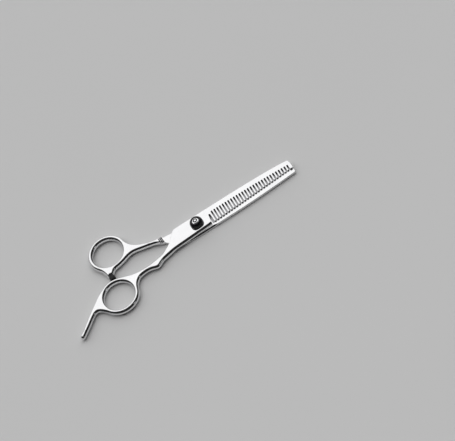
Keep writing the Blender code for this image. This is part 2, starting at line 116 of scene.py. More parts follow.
# The straight half's collar: where its edges turn square, its end and the width of the step there, its
# span in Y, its grooves and the share of each painted black as their shade, and the face of the boss
# for the stop
COLLAR_BLEND = (-31.0, -24.0)
COLLAR_END = -23.8
COLLAR_STEP = 0.04
COLLAR_SPAN = (1.0, 9.0)
GROOVES = (-26.4, -25.4, -24.5)
GROOVE_HALF = 0.38
GROOVE_DEPTH = 0.5
GROOVE_SHADE_SHARE = 0.8
BOSS_FACE = 2.7

# Blades: where they start to thin, their tip and what is kept clear of it, how far they reach in Y,
# where the satin zone with painted shade starts, and the strip beyond the tooth tips that stays
# polished
BLADE_START = 10.0
TIP_X = 72.0
TIP_CLEAR = 1.0
BLADE_SPAN = (-8.0, 8.0)
GROUND_START = 9.0
BRIGHT_STRIP = 0.25
COMB_THINNING = 0.35
STRAIGHT_THINNING = 0.3
TOOTH_TIP_THICKNESS = (1.2, 0.9)

# Teeth: where the first slot's long wall stands, its least length, and the lines of roots and tips
FIRST_WALL = (8.0, 9.0)
FIRST_WALL_LENGTH = 5.0
ROOT_LINE = ((12.0, 2.7), (30.0, 2.65), (45.0, 2.35), (58.0, 1.8), (70.0, 1.15))
TOOTH_TIP_LINE = ((11.0, -5.05), (40.0, -3.6), (72.0, -1.95))
SLOPE_ABOVE_ROOTS = 0.1
SLOPE_RUN_IN = (9.0, 10.4)

# Bevel of the straight blade: thickness at the cutting edge, slope, and where it runs in
EDGE_THICKNESS = 0.35
EDGE_SLOPE = 0.42
BEVEL_RUN_IN = (4.0, 12.0)

# Pockets around the pivot: radius and ceiling
WASHER_POCKET = (4.5, 2.6)
HEAD_POCKET = (4.1, 0.9)

# The pivot screw's square neck: where it starts and ends, half its width, and its corners' radius
NECK_HEIGHTS = (0.85, 2.25)
NECK_HALF = 2.2
NECK_CORNER = 2.95

# The bore of the knob's ring, painted black around the screw as shade: radius, floor and mouth
BORE_SHADE = (1.53, 7.7, 8.6)

# Faces by their normal: a level one, a wall and one that faces up. How near a face lies to its plane
LEVEL = 0.99
WALL = 0.3
UPWARD = 0.2
NEAR_PLANE = 0.1

# Studio: direction of each light, how far it reaches from its middle in degrees, and its level, the
# half width of its soft rim, what the dark parts and the backdrop give, and the floor
SOFTBOX = ((0, 0.6018, 0.7986), 59, 1.0)
FILL_CARD = ((0.6588, -0.7064, 0.2588), 8, 0.35)
LIGHT_RIM = 1.5
STUDIO_DARK = 0.022
STUDIO_STRENGTH = 1.2
BACKDROP = (0.55, 0.55, 0.55, 1)
FLOOR_REACH = 15
FLOOR_GAP = 0.02


# ---------------------------------------------------------------- plan outlines

def plan_loops(node):
    """Outline and holes of a flat CAD node seen from above. Material lies to the left of each."""
    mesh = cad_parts[node].data
    edges = set()
    for face in mesh.polygons:
        if face.normal.z < 0.01:
            continue
        corners = [tuple(round(v / MM, 3) for v in mesh.vertices[i].co[:2]) for i in face.vertices]
        for edge in zip(corners, corners[1:] + corners[:1]):
            if edge[::-1] in edges:
                edges.remove(edge[::-1])
            else:
                edges.add(edge)
    following = dict(sorted(edges))
    loops = []
    while following:
        loop = [next(iter(following))]
        while loop[-1] in following:
            loop.append(following.pop(loop[-1]))
        loops.append(loop[:-1])
    loops.sort(key=area, reverse=True)
    return loops[0], [loop for loop in loops if area(loop) < 0]


def area(loop):
    """Signed area of a loop, positive when it runs counter-clockwise."""
    return sum(a[0] * b[1] - b[0] * a[1] for a, b in closed(loop)) / 2


def closed(loop):
    """Stretches of a closed loop, as pairs of points."""
    return list(zip(loop, loop[1:] + loop[:1]))


def welded(first, second):
    """One outline from two that face each other along one stretch."""
    gaps = {}
    for i, (a, b) in enumerate(closed(first)):
        for j, (c, d) in enumerate(closed(second)):
            if math.dist(a, b) > LEAST_WELD:
                gaps[i, j] = math.dist(a, d) + math.dist(b, c)
    i, j = min(gaps, key=gaps.get)
    return first[i + 1:] + first[:i + 1] + (second[j + 1:] + second[:j + 1])[1:-1]


def refined(loop):
    """Closely spaced points on a smooth curve through a loop, which keeps its real corners."""
    spans = [Vector(b) - Vector(a) for a, b in closed(loop)]
    turns = [spans[i - 1].angle(spans[i]) for i in range(len(loop))]
    fine = []
    for i, start in enumerate(loop):
        j = (i + 1) % len(loop)
        span = spans[i]
        length = span.length
        leave = curve_direction(spans[i - 1], span, span, turns[i])
        arrive = curve_direction(span, spans[j], span, turns[j])
        bend = leave.angle(span) + arrive.angle(span)
        longest = STRAIGHT_STEP if bend < 0.01 else LONGEST_STEP
        count = max(1, math.ceil(length / longest), math.ceil(bend / STEP_TURN))
        for step in range(count):
            t = step / count
            past = t * t * (3 - 2 * t)
            point = Vector(start).lerp(Vector(loop[j]), past)
            point += leave * length * t * (1 - t) ** 2 - arrive * length * t * t * (1 - t)
            fine.append(tuple(point))
    return fine


def curve_direction(before, after, span, turn):
    """Direction of a curve where two spans meet. At a corner it leaves or arrives along this span."""
    if turn > CORNER_TURN:
        return span.normalized()
    if before.length > STRAIGHT_RATIO * after.length:
        return before.normalized()
    if after.length > STRAIGHT_RATIO * before.length:
        return after.normalized()
    return (before.normalized() * after.length + after.normalized() * before.length).normalized()


def nearest(points, path):
    """Distance from each point to the nearest stretch of a path, and the spot it lies nearest to."""
    starts = np.array([a for a, b in path])
    spans = np.array([b for a, b in path]) - starts
    squares = np.maximum((spans ** 2).sum(axis=1), 1e-12)
    distances = []
    spots = []
    for block in np.array_split(np.asarray(points, dtype=float), len(points) // 400 + 1):
        offsets = block[:, None, :] - starts[None]
        along = np.clip((offsets * spans[None]).sum(axis=2) / squares, 0, 1)
        gaps = offsets - along[:, :, None] * spans[None]
        lengths = np.sqrt((gaps ** 2).sum(axis=2))
        best = lengths.argmin(axis=1)
        rows = np.arange(len(block))
        distances.append(lengths[rows, best])
        spots.append(starts[best] + along[rows, best][:, None] * spans[best])
    return np.concatenate(distances), np.concatenate(spots)


def inside(points, loop):
    """Which points lie inside a loop."""
    points = np.asarray(points, dtype=float)
    result = np.zeros(len(points), dtype=bool)
    for (x0, y0), (x1, y1) in closed(loop):
        if y0 == y1:
            continue
        crosses = (y0 > points[:, 1]) != (y1 > points[:, 1])
        result ^= crosses & (points[:, 0] < (x1 - x0) * (points[:, 1] - y0) / (y1 - y0) + x0)
    return result


# ---------------------------------------------------------------- flat pieces with rounded edges

def rounding_rows(loop, path, rounding):
    """Points inwards from a loop at the distances that its rounding needs.

    Each is (its share of the rounding, its inset, the least space around it, its place).
    """
    reaches = rounding(np.array(loop))[0]
    rows = []
    for (a, p), (_, b), reach in zip(closed(loop[-1:] + loop[:-1]), closed(loop), reaches):
        before = Vector(p) - Vector(a)
        after = Vector(b) - Vector(p)
        tangent = (before.normalized() + after.normalized()).normalized()
        count = WIDE_ROWS if reach > WIDE_REACH else NARROW_ROWS
        mitre = 1 / max(0.5, math.cos(before.angle(after) / 2)) if before.cross(after) > 0 else 1
        last = 0.0
        for step in range(1, count + 1):
            inset = reach * (1 - math.cos(math.pi / 2 * step / count))
            place = (p[0] - tangent.y * inset * mitre, p[1] + tangent.x * inset * mitre)
            rows.append((step / count, inset, (inset - last) / 2, place))
            last = inset
    clear = nearest([row[3] for row in rows], path)[0]
    return [row for row, gap in zip(rows, clear) if gap > CLEAR_SHARE * row[1]]


def thinned(rows, cell=0.5):
    """The places of these rows, outermost first, without those too close to one already taken."""
    taken = {}
    for _, _, spacing, (x, y) in sorted(rows, key=lambda row: row[0]):
        column = math.floor(x / cell)
        line = math.floor(y / cell)
        around = [(column + i, line + j) for i in (-1, 0, 1) for j in (-1, 0, 1)]
        if all(math.dist(p, (x, y)) > spacing for key in around for p in taken.get(key, ())):
            taken.setdefault((column, line), []).append((x, y))
    return [p for places in taken.values() for p in places]


def flat_piece(name, outline, holes, rounding, top, bottom, square_ends=(), creases=()):
    """A closed solid between two height fields, with edges rounded by the distance from its outline.

    rounding gives (reach, drop, rise) at spots on the outline. top and bottom give heights at plan
    points. A square end, a pair of points, isn't rounded. A crease is a line that edges follow.
    """
    loops = [refined(outline)] + [refined(hole) for hole in holes]
    path = rounded_stretches(loops, square_ends)
    rows = [row for loop in loops for row in rounding_rows(loop, path, rounding)]
    xy, faces = plan_mesh(loops, creases, thinned(rows))
    gaps, spots = nearest(xy, path)
    reach, drop, rise = rounding(spots)
    short = 1 - (1 - (1 - np.clip(gaps / reach, 0, 1)) ** EDGE_POWER) ** (1 / EDGE_POWER)
    upper = top(xy) - drop * short
    lower = np.minimum(bottom(xy) + rise * short, upper - LEAST_THICKNESS)
    return solid_between(name, xy, faces, upper, lower)


def rounded_stretches(loops, square_ends):
    """Stretches of the loops, without those along a square end."""
    path = [pair for loop in loops for pair in closed(loop)]
    middles = np.array([((a[0] + b[0]) / 2, (a[1] + b[1]) / 2) for a, b in path])
    rounded = np.ones(len(path), dtype=bool)
    for end in square_ends:
        rounded &= nearest(middles, [end])[0] > SAME_SPOT
    return [pair for pair, kept in zip(path, rounded) if kept]


def plan_mesh(loops, creases, places):
    """Points and triangles that fill the loops and follow the creases."""
    plan = [p for loop in loops for p in loop]
    edges = []
    for loop in loops:
        start = len(edges)
        edges += [(start + i, start + (i + 1) % len(loop)) for i in range(len(loop))]
    for crease in creases:
        start = len(plan)
        plan += crease
        edges += [(start + i, start + i + 1) for i in range(len(crease) - 1)]
    plan, _, faces, _, _, _ = delaunay_2d_cdt([Vector(p) for p in plan + places], edges, [], 0, 1e-5)
    xy = np.array([(v.x, v.y) for v in plan])
    middles = np.array([xy[list(face)].mean(axis=0) for face in faces])
    keep = inside(middles, loops[0])
    for hole in loops[1:]:
        keep &= ~inside(middles, hole)
    return xy, [tuple(face) for face, kept in zip(faces, keep) if kept]


def solid_between(name, xy, faces, upper, lower):
    """A closed mesh with these faces at two heights and walls around them."""
    mesh = bmesh.new()
    used = sorted({i for face in faces for i in face})
    above = {i: mesh.verts.new((xy[i][0] * MM, xy[i][1] * MM, upper[i] * MM)) for i in used}
    below = {i: mesh.verts.new((xy[i][0] * MM, xy[i][1] * MM, lower[i] * MM)) for i in used}
    sides = set()
    for a, b, c in faces:
        mesh.faces.new((above[a], above[b], above[c]))
        mesh.faces.new((below[c], below[b], below[a]))
        for edge in ((a, b), (b, c), (c, a)):
            sides ^= {edge} if edge[::-1] not in sides else {edge[::-1]}
    for a, b in sorted(sides):
        mesh.faces.new((above[b], above[a], below[a], below[b]))
    return as_object(name, mesh)


def circle(radius):
    """Points of a closed circle about the pivot, the first one repeated at the end."""
    angles = [TURN * i / ROUND_STEPS for i in range(ROUND_STEPS + 1)]
    return [(radius * math.cos(angle), radius * math.sin(angle)) for angle in angles]


def pocket_lines(radius):
    """Two circles a hair apart, for the upright wall of a round pocket."""
    return [circle(radius), circle(radius + POCKET_WALL)]


def across(x, low, high):
    """A line across the piece at this x, in steps short enough to follow rounded edges."""
    return [(x, float(y)) for y in np.arange(low, high, ACROSS_STEP)]


def eased(values, start, end):
    """0 before start, 1 after end, and a smooth rise between them."""
    t = np.clip((values - start) / (end - start), 0, 1)
    return t * t * (3 - 2 * t)


def mixed(first, second, share):
    """Each number of the first rounding, moved by this share towards the second one."""
    return [a + (b - a) * share for a, b in zip(first, second)]


def chosen(cases, default):
    """The rounding of the first case that holds at each spot."""
    tests = [test for test, _ in cases]
    return [np.select(tests, [edge[i] * np.ones(len(tests[0])) for _, edge in cases], default[i])
            for i in range(3)]


def line_height(line, x):
    """Height at x of a line given by its points."""
    xs, ys = zip(*line)
    return np.interp(x, xs, ys)


def ground_border():
    """Lines around the ground zone of an inner face: across its start, then beyond the tooth tips."""
    xs = np.arange(GROUND_START, TIP_X + 1, BORDER_STEP)
    return [across(GROUND_START, *BLADE_SPAN),
            [(float(x), float(line_height(TOOTH_TIP_LINE, x)) - BRIGHT_STRIP) for x in xs]]


def along_blade(x):
    """Share of the way from the blade's start to its tip."""
    return np.clip((x - BLADE_START) / (TIP_X - BLADE_START), 0, 1)


# ---------------------------------------------------------------- the comb half

def comb_rounding(spots):
    """Edges of the comb half: oval handle, round near edge, crisp teeth, soft far edge."""
    x, y = spots[:, 0], spots[:, 1]
    blade = chosen([
        (np.hypot(x, y) < BORE_ZONE, BORE_EDGE),
        ((x < RICASSO_END) & (y < NEAR_SIDE), NEAR_EDGE),
        ((x > TEETH_START) & (y < FAR_SIDE), TOOTH_EDGE)], SPINE_EDGE)
    return mixed(HANDLE_EDGE, blade, eased(x, *WELD_BLEND))


def comb_top(xy):
    """Outer face: it thins to the tip, and each tooth thins from its root to its end."""
    x, y = xy[:, 0], xy[:, 1]
    share = along_blade(x)
    spine = TOP - COMB_BOTTOM - COMB_THINNING * share
    start, end = TOOTH_TIP_THICKNESS
    tip = start + (end - start) * share
    root_y = line_height(ROOT_LINE, x) + SLOPE_ABOVE_ROOTS
    tip_y = line_height(TOOTH_TIP_LINE, x)
    down = np.clip((root_y - y) / (root_y - tip_y), 0, 1) * eased(x, *SLOPE_RUN_IN)
    return COMB_BOTTOM + spine + (tip - spine) * down


def comb_bottom(xy):
    """Underside: it rises from the handle to the flat inner face, which has the washer's pocket."""
    (x0, y0), (x1, y1) = WELD_LINE
    length = math.dist(*WELD_LINE)
    past = ((xy[:, 0] - x0) * (y0 - y1) + (xy[:, 1] - y0) * (x1 - x0)) / length
    height = COMB_BOTTOM * eased(past, *WELD_RISE)
    radius, ceiling = WASHER_POCKET
    return np.where(np.hypot(xy[:, 0], xy[:, 1]) < radius + POCKET_WALL / 2, ceiling, height)


def first_slot_wall(blade):
    """The long wall of the first slot, where the ricasso ends square."""
    low, high = FIRST_WALL
    return next((a, b) for a, b in closed(blade)
                if low < min(a, b)[0] < high and abs(a[1] - b[1]) > FIRST_WALL_LENGTH)


def beside_wall(wall):
    """A line just inside the ricasso, along the start of this wall."""
    (x0, y0), (x1, y1) = sorted(wall)
    gap = 0.03
    start = 0.05
    length = 2.0
    return [(x0 - gap + (x1 - x0) * (y - y0) / (y1 - y0), float(y))
            for y in np.arange(y0 + start, y0 + length, ACROSS_STEP)]


def make_comb_half():
    """Comb blade, finger handle and tang as one polished piece."""
    handle, ring = plan_loops("finger_handle")
    blade, bore = plan_loops("comb_blade")
    wall = first_slot_wall(blade)
    slope_start = [(x, float(line_height(ROOT_LINE, x)) + SLOPE_ABOVE_ROOTS)
                   for x in np.arange(GROUND_START, TIP_X - TIP_CLEAR, SLOPE_STEP)]
    creases = pocket_lines(WASHER_POCKET[0]) + [slope_start, beside_wall(wall)] + ground_border()[:1]
    return flat_piece("comb_half", welded(handle, blade), ring + bore, comb_rounding, comb_top,
                      comb_bottom, [wall], creases)


# ---------------------------------------------------------------- the straight half

def straight_rounding(spots):
    """Edges of the straight half: oval handle, square collar, lightly eased neck and back."""
    x, y = spots[:, 0], spots[:, 1]
    handle = mixed(HANDLE_EDGE, COLLAR_EDGE, eased(x, *COLLAR_BLEND))
    back = mixed(BACK_NEAR_PIVOT, BACK_EDGE, eased(x, *BACK_BLEND))
    blade = chosen([
        (np.hypot(x, y) < BORE_ZONE, BORE_EDGE),
        ((x > BLADE_START) & (y > 0), CUTTING_EDGE),
        (y < 0, back)], NECK_EDGE)
    return [np.where(x < COLLAR_END, a, b) for a, b in zip(handle, blade)]


def straight_top(xy):
    """Top of the handle with the grooves of its collar, then the flat inner face of the blade."""
    x = xy[:, 0]
    height = np.full(len(xy), TOP)
    for groove in GROOVES:
        height -= GROOVE_DEPTH * np.cos(np.clip((x - groove) / GROOVE_HALF, -1, 1) * math.pi / 2) ** 2
    return np.where(x < COLLAR_END, height, STRAIGHT_TOP)


def make_straight_bottom(cutting_path):
    """Underside: flat, with a bevel to the cutting edge and a pocket for the screw head."""
    def bottom(xy):
        x = xy[:, 0]
        edge = EDGE_THICKNESS + EDGE_SLOPE * nearest(xy, cutting_path)[0]
        blade = np.minimum(edge, STRAIGHT_TOP - STRAIGHT_THINNING * along_blade(x))
        start, end = BEVEL_RUN_IN
        share = np.clip((x - start) / (end - start), 0, 1)
        height = (STRAIGHT_TOP - blade) * share
        radius, ceiling = HEAD_POCKET
        return np.where(np.hypot(x, xy[:, 1]) < radius + POCKET_WALL / 2, ceiling, height)
    return bottom


def make_straight_half():
    """Straight blade and thumb handle as one polished piece."""
    handle, ring = plan_loops("thumb_handle")
    blade, hole = plan_loops("straight_blade")
    outline = welded(handle, blade)
    cutting_path = [(a, b) for a, b in closed(blade)
                    if min(a[0], b[0]) > BLADE_START and min(a[1], b[1]) > 1]
    boss = [(a, b) for a, b in closed(outline)
            if max(abs(a[1] - BOSS_FACE), abs(b[1] - BOSS_FACE)) < SAME_SPOT]
    lines = [COLLAR_END - COLLAR_STEP / 2, COLLAR_END + COLLAR_STEP / 2]
    lines += [groove + GROOVE_HALF * share for groove in GROOVES for share in (-1, -0.5, 0, 0.5, 1)]
    bevel_width = (STRAIGHT_TOP - STRAIGHT_THINNING / 2 - EDGE_THICKNESS) / EDGE_SLOPE
    creases = pocket_lines(HEAD_POCKET[0])
    creases += [across(x, *COLLAR_SPAN) for x in lines] + ground_border()
    creases.append([(x, y - bevel_width) for (x, y), _ in cutting_path][::-1])
    return flat_piece("straight_half", outline, ring + hole, straight_rounding, straight_top,
                      make_straight_bottom(cutting_path), boss, creases)


# ---------------------------------------------------------------- turned pieces

def filleted(profile, radius, steps=4):
    """A profile with each of its inner corners rounded by about this radius."""
    points = [Vector(p) for p in profile]
    result = [points[0]]
    for before, corner, after in zip(points, points[1:], points[2:]):
        cut = min(radius, (before - corner).length / 2, (after - corner).length / 2)
        start = corner + (before - corner).normalized() * cut
        end = corner + (after - corner).normalized() * cut
        for i in range(steps + 1):
            t = i / steps
            result.append(start.lerp(corner, t).lerp(corner.lerp(end, t), t))
    return result + [points[-1]]


def turned(name, profile, closed_ring=False, radius_at=None):
    """Turn a profile of (radius, height) about the pivot axis. Without a ring, it runs axis to axis."""
    mesh = bmesh.new()
    rows = []
    for radius, height in profile:
        if radius < 1e-6:
            rows.append([mesh.verts.new((0, 0, height * MM))] * ROUND_STEPS)
            continue
        row = []
        for i in range(ROUND_STEPS):
            angle = TURN * i / ROUND_STEPS
            reach = radius_at(radius, height, angle) if radius_at else radius
            place = (reach * math.cos(angle) * MM, reach * math.sin(angle) * MM, height * MM)
            row.append(mesh.verts.new(place))
        rows.append(row)
    pairs = list(zip(rows, rows[1:]))
    if closed_ring:
        pairs.append((rows[-1], rows[0]))
    for low, high in pairs:
        for i in range(ROUND_STEPS):
            j = (i + 1) % ROUND_STEPS
            corners = []
            for vertex in (low[i], low[j], high[j], high[i]):
                if vertex not in corners:
                    corners.append(vertex)
            mesh.faces.new(corners)
    bmesh.ops.recalc_face_normals(mesh, faces=mesh.faces)
    return as_object(name, mesh)


def as_object(name, mesh):
    """Make an object from a bmesh, with smooth shading except at real edges."""
    data = bpy.data.meshes.new(name)
    mesh.to_mesh(data)
    mesh.free()
    data.shade_smooth()
    data.set_sharp_from_angle(angle=SHARP_EDGE)
    made = bpy.data.objects.new(name, data)
    bpy.context.scene.collection.objects.link(made)
    return made


def make_knob():
    """Black domed knob with a grip groove, hollow below."""
    grip = [(4.2, 4.75), (4.42, 4.78), (4.5, 4.95), (4.5, 5.35), (4.38, 5.47), (4.38, 5.7),
            (4.47, 5.84)]
    dome = [(4.44, 6.3), (4.34, 6.7), (4.18, 7.1), (3.98, 7.5), (3.74, 7.85), (3.46, 8.16),
            (3.15, 8.4), (2.9, 8.54), (2.72, 8.6)]
    within = [(2.63, 8.55), (2.63, 8.0), (2.25, 8.0), (2.25, 6.45), (3.55, 6.45), (3.55, 4.75)]
    return turned("knob_shell", filleted(grip + dome, 0.12) + filleted(within, 0.05), closed_ring=True)


def make_knob_ring():
    """Bright bush whose flange shows as a conical ring in the knob."""
    flange = filleted([(2.55, 8.0), (2.58, 8.08), (1.68, 8.66), (1.5, 8.64), (1.5, 7.75)], 0.1)
    bush = [(2.2, 6.5), (2.2, 8.0)] + flange + [(1.31, 7.75), (1.31, 6.5)]
    return turned("knob_ring", bush, closed_ring=True)


def make_centre_screw():
    """Small high-domed screw that keeps the knob on."""
    foot = 7.77
    top = 8.95
    radius = 1.22
    shank = [(0, 5.7), (0.5, 5.7), (0.6, 5.85), (0.6, foot)]
    dome = [(radius * math.cos(math.radians(a)), foot + (top - foot) * math.sin(math.radians(a)))
            for a in range(0, 90, 6)]
    return turned("centre_screw", shank + dome + [(0, top)])


def neck_shape(radius, height, angle):
    """The pivot screw's neck is square between its head and its journal, and round elsewhere."""
    start, end = NECK_HEIGHTS
    if start < height < end:
        return min(NECK_HALF / max(abs(math.cos(angle)), abs(math.sin(angle))), NECK_CORNER)
    return radius


def make_pivot_screw():
    """Flat head flush with the underside, square neck, journal and threaded end."""
    head = [(0, 0.06), (0.9, 0.06), (1.05, 0), (3.86, 0), (4.0, 0.14), (4.0, 0.85), (2.95, 0.85)]
    neck = [(2.2, 0.86), (2.2, 2.24)]
    journal = [(2.1, 2.25), (2.1, 4.95)]
    thread = [(1.25, 4.95), (1.25, 8.1), (1.15, 8.2)]
    bore = [(0.65, 8.2), (0.65, 5.5), (0, 5.5)]
    profile = head + neck + journal + thread + bore
    return turned("pivot_bolt", filleted(profile, 0.03, 1), radius_at=neck_shape)


def make_stop():
    """Rubber stop, turned about its own stud and laid along Y."""
    outside = [(1.0, -1.15), (1.0, -2.65), (1.8, -2.65), (1.95, -2.5), (1.95, 0.0), (1.8, 0.32),
               (1.35, 0.5), (0, 0.52)]
    stop = turned("ring_stop", [(0, -1.15)] + filleted(outside, 0.15))
    low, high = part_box("bumper_stud")
    middle = [(a + b) / 2 for a, b in zip(low, high)]
    lay_down = Matrix.Rotation(math.pi / 2, 4, "X")
    stop.data.transform(Matrix.Translation((middle[0], 0, middle[2])) @ lay_down)
    return stop


# ---------------------------------------------------------------- materials

def new_material(name, colour, roughness, metallic=0.0):
    """A Principled material, its tree, its shader and object coordinates."""
    material = bpy.data.materials.new(name)
    material.use_nodes = True
    tree = material.node_tree
    shader = tree.nodes["Principled BSDF"]
    shader.inputs["Base Color"].default_value = (*colour, 1)
    shader.inputs["Roughness"].default_value = roughness
    shader.inputs["Metallic"].default_value = metallic
    place = tree.nodes.new("ShaderNodeTexCoord").outputs["Object"]
    return material, tree, shader, place


def stretched(tree, place, scale):
    """Coordinates scaled differently along X, Y and Z."""
    mapping = tree.nodes.new("ShaderNodeMapping")
    mapping.inputs["Scale"].default_value = scale
    tree.links.new(place, mapping.inputs["Vector"])
    return mapping.outputs["Vector"]


def noise(tree, place, scale, detail=3.0):
    """Noise whose grain is 1 / scale metres."""
    node = tree.nodes.new("ShaderNodeTexNoise")
    node.inputs["Scale"].default_value = scale
    node.inputs["Detail"].default_value = detail
    tree.links.new(place, node.inputs["Vector"])
    return node.outputs["Fac"]


def ranged(tree, value, low, high, start=0.3, end=0.7):
    """Map the start to end of a value onto low to high."""
    node = tree.nodes.new("ShaderNodeMapRange")
    for socket, number in (("From Min", start), ("From Max", end), ("To Min", low), ("To Max", high)):
        node.inputs[socket].default_value = number
    tree.links.new(value, node.inputs["Value"])
    return node.outputs["Result"]


def mixed_colour(tree, value, first, second):
    """A colour between two, by a value from 0 to 1."""
    node = tree.nodes.new("ShaderNodeMix")
    node.data_type = "RGBA"
    node.inputs["A"].default_value = (*first, 1)
    node.inputs["B"].default_value = (*second, 1)
    tree.links.new(value, node.inputs["Factor"])
    return node.outputs["Result"]


def added(tree, first, second):
    """The sum of two values."""
    node = tree.nodes.new("ShaderNodeMath")
    tree.links.new(first, node.inputs[0])
    tree.links.new(second, node.inputs[1])
    return node.outputs["Value"]


def bump(tree, shader, height, distance, strength=1.0):
    """Raise the surface by a height from 0 to 1 over this distance in metres."""
    node = tree.nodes.new("ShaderNodeBump")
    node.inputs["Distance"].default_value = distance
    node.inputs["Strength"].default_value = strength
    tree.links.new(height, node.inputs["Height"])
    tree.links.new(node.outputs["Normal"], shader.inputs["Normal"])


def polished_steel():
    """Mirror-polished steel with a faint haze and fine polishing lines along X."""
    material, tree, shader, place = new_material("mirror_steel", (0.80, 0.80, 0.81), 0.07, 1.0)
    haze = noise(tree, place, 90, 4)
    lines = noise(tree, stretched(tree, place, (120, 3200, 3200)), 1, 2)
    roughness = added(tree, ranged(tree, haze, 0.035, 0.075), ranged(tree, lines, 0.0, 0.045))
    tree.links.new(roughness, shader.inputs["Roughness"])
    tint = mixed_colour(tree, ranged(tree, haze, 0, 1), (0.765, 0.765, 0.775), (0.815, 0.815, 0.82))
    tree.links.new(tint, shader.inputs["Base Color"])
    bump(tree, shader, lines, 0.0000008, 0.6)
    return material


def ground_steel_with_painted_shade():
    """Ground inner faces and slots: satin, with grinding lines across the blade, and a dark colour that
    is painted shade for the slots.
    """
    # The base colour is darker than the steel's own: painted shade for the slots between the teeth.
    material, tree, shader, place = new_material("ground_steel_with_painted_shade", (0.40, 0.40, 0.41), 0.4, 1.0)
    lines = noise(tree, stretched(tree, place, (9000, 500, 2500)), 1, 3)
    patches = noise(tree, place, 300, 2)
    roughness = added(tree, ranged(tree, lines, 0.34, 0.44), ranged(tree, patches, 0.0, 0.06))
    tree.links.new(roughness, shader.inputs["Roughness"])
    tint = mixed_colour(tree, ranged(tree, lines, 0, 1), (0.36, 0.36, 0.37), (0.44, 0.44, 0.45))
    tree.links.new(tint, shader.inputs["Base Color"])
    bump(tree, shader, lines, 0.000004, 0.5)
    return material


def turned_steel(name, colour, roughness):
    """Steel off a lathe: rings about the pivot axis and uneven sheen."""
    material, tree, shader, place = new_material(name, colour, roughness, 1.0)
    rings = tree.nodes.new("ShaderNodeTexWave")
    rings.wave_type = "RINGS"
    rings.rings_direction = "Z"
    rings.inputs["Scale"].default_value = 1800
    rings.inputs["Distortion"].default_value = 1.5
    tree.links.new(place, rings.inputs["Vector"])
    sheen = noise(tree, place, 400, 3)
    tree.links.new(ranged(tree, sheen, roughness * 0.75, roughness * 1.25), shader.inputs["Roughness"])
    darker = tuple(0.9 * c for c in colour)
    tree.links.new(mixed_colour(tree, sheen, darker, colour), shader.inputs["Base Color"])
    bump(tree, shader, rings.outputs["Fac"], 0.000002, 0.5)
    return material


def black_finish():
    """Glossy black knob: very fine grain and handling sheen. Also used as painted shade in the grooves
    and a bore.
    """
    material, tree, shader, place = new_material("gloss_black_and_shade", (0.006, 0.006, 0.007), 0.12)
    grain = noise(tree, place, 9000, 2)
    sheen = noise(tree, place, 350, 3)
    tree.links.new(ranged(tree, sheen, 0.08, 0.15), shader.inputs["Roughness"])
    tint = mixed_colour(tree, sheen, (0.004, 0.004, 0.005), (0.008, 0.008, 0.009))
    tree.links.new(tint, shader.inputs["Base Color"])
    shader.inputs["Specular IOR Level"].default_value = 0.3
    bump(tree, shader, grain, 0.000002, 0.5)
    return material


def rubber():
    """Moulded black rubber with a dull, slightly dusty skin."""
    material, tree, shader, place = new_material("stop_rubber", (0.014, 0.014, 0.015), 0.75)
    skin = noise(tree, place, 2500, 4)
    tree.links.new(ranged(tree, skin, 0.62, 0.85), shader.inputs["Roughness"])
    tint = mixed_colour(tree, skin, (0.010, 0.010, 0.011), (0.026, 0.026, 0.027))
    tree.links.new(tint, shader.inputs["Base Color"])
    shader.inputs["Specular IOR Level"].default_value = 0.3
    bump(tree, shader, skin, 0.00002, 0.5)
    return material


def nylon():
    """Natural nylon washers, faintly mottled."""
    material, tree, shader, place = new_material("natural_nylon", (0.75, 0.74, 0.70), 0.5)
    mottle = noise(tree, place, 900, 3)
    tint = mixed_colour(tree, mottle, (0.68, 0.67, 0.62), (0.80, 0.79, 0.75))
    tree.links.new(tint, shader.inputs["Base Color"])
    tree.links.new(ranged(tree, mottle, 0.42, 0.58), shader.inputs["Roughness"])
    bump(tree, shader, mottle, 0.00001, 0.4)
    return material


def floor_finish():
    """Plain pale matt floor."""
    material, tree, shader, place = new_material("pale_floor", (0.68, 0.68, 0.68), 0.9)
    shader.inputs["Specular IOR Level"].default_value = 0.1
    tint = mixed_colour(tree, noise(tree, place, 4, 2), (0.67, 0.67, 0.67), (0.69, 0.69, 0.69))
    tree.links.new(tint, shader.inputs["Base Color"])
    return material


# ---------------------------------------------------------------- studio and camera

def light_disc(tree, place, direction, reach, level):
    """This level within an angle of a direction, in degrees, and 0 outside it."""
    facing = tree.nodes.new("ShaderNodeVectorMath")
    facing.operation = "DOT_PRODUCT"
    facing.inputs[1].default_value = direction
    tree.links.new(place, facing.inputs[0])
    inner = math.cos(math.radians(reach - LIGHT_RIM))
    outer = math.cos(math.radians(reach + LIGHT_RIM))
    return ranged(tree, facing.outputs["Value"], 0.0, level, outer, inner)


def make_world():
    """A huge round softbox high on the far side and a low card, in a dark studio.

    The camera itself sees a pale backdrop.
    """
    world = bpy.data.worlds.new("studio")
    bpy.context.scene.world = world
    world.use_nodes = True
    tree = world.node_tree
    background = tree.nodes["Background"]
    place = tree.nodes.new("ShaderNodeTexCoord").outputs["Generated"]
    lit = added(tree, light_disc(tree, place, *SOFTBOX), light_disc(tree, place, *FILL_CARD))
    glow = ranged(tree, lit, STUDIO_DARK, 1.0, 0.0, 1.0)
    seen = tree.nodes.new("ShaderNodeLightPath").outputs["Is Camera Ray"]
    mix = tree.nodes.new("ShaderNodeMix")
    mix.data_type = "RGBA"
    mix.inputs["B"].default_value = BACKDROP
    tree.links.new(seen, mix.inputs["Factor"])
    tree.links.new(glow, mix.inputs["A"])
    tree.links.new(mix.outputs["Result"], background.inputs["Color"])
    background.inputs["Strength"].default_value = STUDIO_STRENGTH


def make_floor(material):
    """Floor under the shears, wide enough to reach the horizon."""
    mesh = bmesh.new()
    bmesh.ops.create_grid(mesh, x_segments=1, y_segments=1, size=FLOOR_REACH)
    bmesh.ops.translate(mesh, verts=mesh.verts, vec=(0, 0, -FLOOR_GAP * MM))
    floor = as_object("floor", mesh)
    floor.data.materials.append(material)


